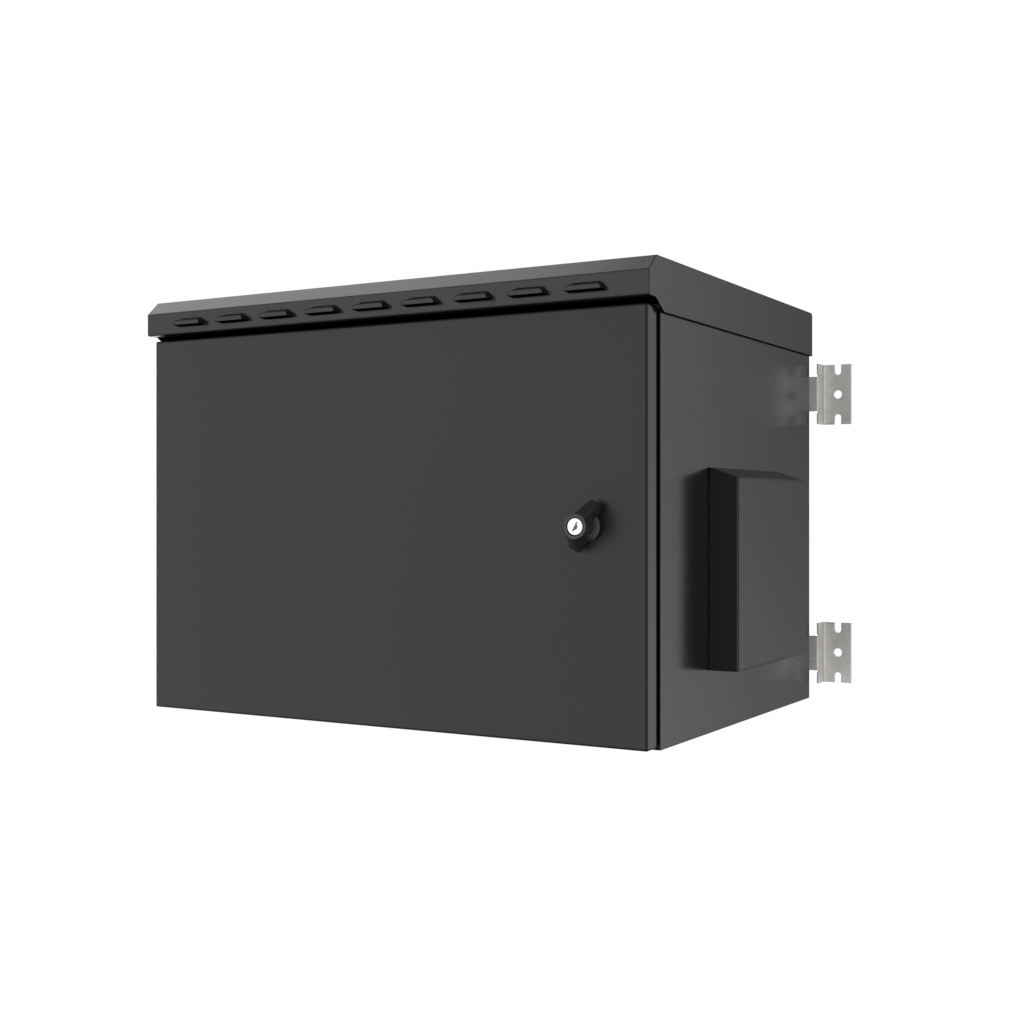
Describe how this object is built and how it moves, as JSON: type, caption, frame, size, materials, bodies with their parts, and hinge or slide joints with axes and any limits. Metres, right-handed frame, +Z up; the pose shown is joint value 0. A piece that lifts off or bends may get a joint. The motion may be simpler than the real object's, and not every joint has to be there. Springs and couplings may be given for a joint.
{
  "type": "wall mount network cabinet",
  "caption": "Wall cabinet for 19-inch network equipment with a hinged steel door, wing knob lock, louvred roof canopy, side ventilation hoods and wall brackets.",
  "frame": {"origin": "centre of the rectangle of the four wall bolt holes, on the wall's surface", "axes": "+X to the right of someone facing the door, +Y from the door into the wall, +Z up"},
  "size_m": [0.6874, 0.502, 0.451],
  "materials": {
    "powder_coat": "satin dark grey-black powder coat on sheet steel",
    "zinc_sheet": "galvanised sheet steel",
    "zinc_fastener": "bright zinc-plated steel",
    "black_plastic": "moulded black plastic",
    "black_diecast": "black coated zinc die casting",
    "chrome": "polished chrome",
    "rubber": "black rubber",
    "foam_seal": "foamed polyurethane seal",
    "filter_fleece": "non-woven filter fleece",
    "guard_wire": "nickel-plated wire"
  },
  "bodies": {
    "cabinet": {"side_panel_right": "powder_coat", "side_panel_left": "powder_coat", "bottom_panel": "powder_coat", "top_panel": "powder_coat", "rear_panel": "powder_coat", "front_frame": "powder_coat", "roof_canopy": "powder_coat", "roof_supports": "zinc_sheet", "roof_bolts": "zinc_fastener", "roof_nuts": "zinc_fastener", "vent_hood_right": "powder_coat", "vent_hood_left": "powder_coat", "hood_screws": "zinc_fastener", "hood_nuts": "zinc_fastener", "fan_housing": "black_plastic", "fan_guard": "guard_wire", "fan_screws": "zinc_fastener", "fan_nuts": "zinc_fastener", "filter_holder": "black_plastic", "filter_mat": "filter_fleece", "filter_screws": "zinc_fastener", "filter_nuts": "zinc_fastener", "rack_rail_front_right": "zinc_sheet", "rack_rail_front_left": "zinc_sheet", "rack_rail_rear_right": "zinc_sheet", "rack_rail_rear_left": "zinc_sheet", "rail_support_upper_right": "zinc_sheet", "rail_support_upper_left": "zinc_sheet", "rail_support_lower_right": "zinc_sheet", "rail_support_lower_left": "zinc_sheet", "rail_bolts": "zinc_fastener", "rail_nuts": "zinc_fastener", "wall_bracket_upper_right": "zinc_sheet", "wall_bracket_upper_left": "zinc_sheet", "wall_bracket_lower_right": "zinc_sheet", "wall_bracket_lower_left": "zinc_sheet", "bracket_bolts": "zinc_fastener", "bracket_nuts": "zinc_fastener", "cable_entry_plate": "powder_coat", "cable_entry_gasket": "rubber", "cable_entry_screws": "zinc_fastener", "entry_grommets": "rubber", "earth_stud": "zinc_fastener", "earth_nut": "zinc_fastener", "hinge_arm_lower": "zinc_sheet", "hinge_arm_upper": "zinc_sheet"},
    "door": {"hinge_bracket_lower": "zinc_sheet", "hinge_bracket_upper": "zinc_sheet", "hinge_pins": "zinc_fastener", "door_panel": "powder_coat", "door_stiffener": "zinc_sheet", "door_gasket": "foam_seal", "lock_housing": "black_diecast", "lock_nut": "zinc_fastener"},
    "knob": {"wing_knob": "black_diecast", "lock_cam": "zinc_fastener", "cam_screw": "zinc_fastener"},
    "key_plug": {"key_plug": "chrome"},
    "fan_rotor": {"fan_rotor": "black_plastic"}
  },
  "joints": [
    {"name": "door_hinge", "type": "hinge", "parent": "cabinet", "child": "door", "pos_m": [-0.2855, -0.4615, 0], "axis": [0, 0, -1], "range_deg": [0, 120]},
    {"name": "knob_turn", "type": "hinge", "parent": "door", "child": "knob", "pos_m": [0.24, -0.472, 0.0005], "axis": [0, -1, 0], "range_deg": [0, 90]},
    {"name": "key_turn", "type": "hinge", "parent": "knob", "child": "key_plug", "pos_m": [0.24, -0.495, 0.0005], "axis": [0, -1, 0], "range_deg": [0, 90]},
    {"name": "fan_spin", "type": "hinge", "parent": "cabinet", "child": "fan_rotor", "pos_m": [0.2815, -0.2315, -0.04225], "axis": [1, 0, 0], "continuous": true}
  ]
}
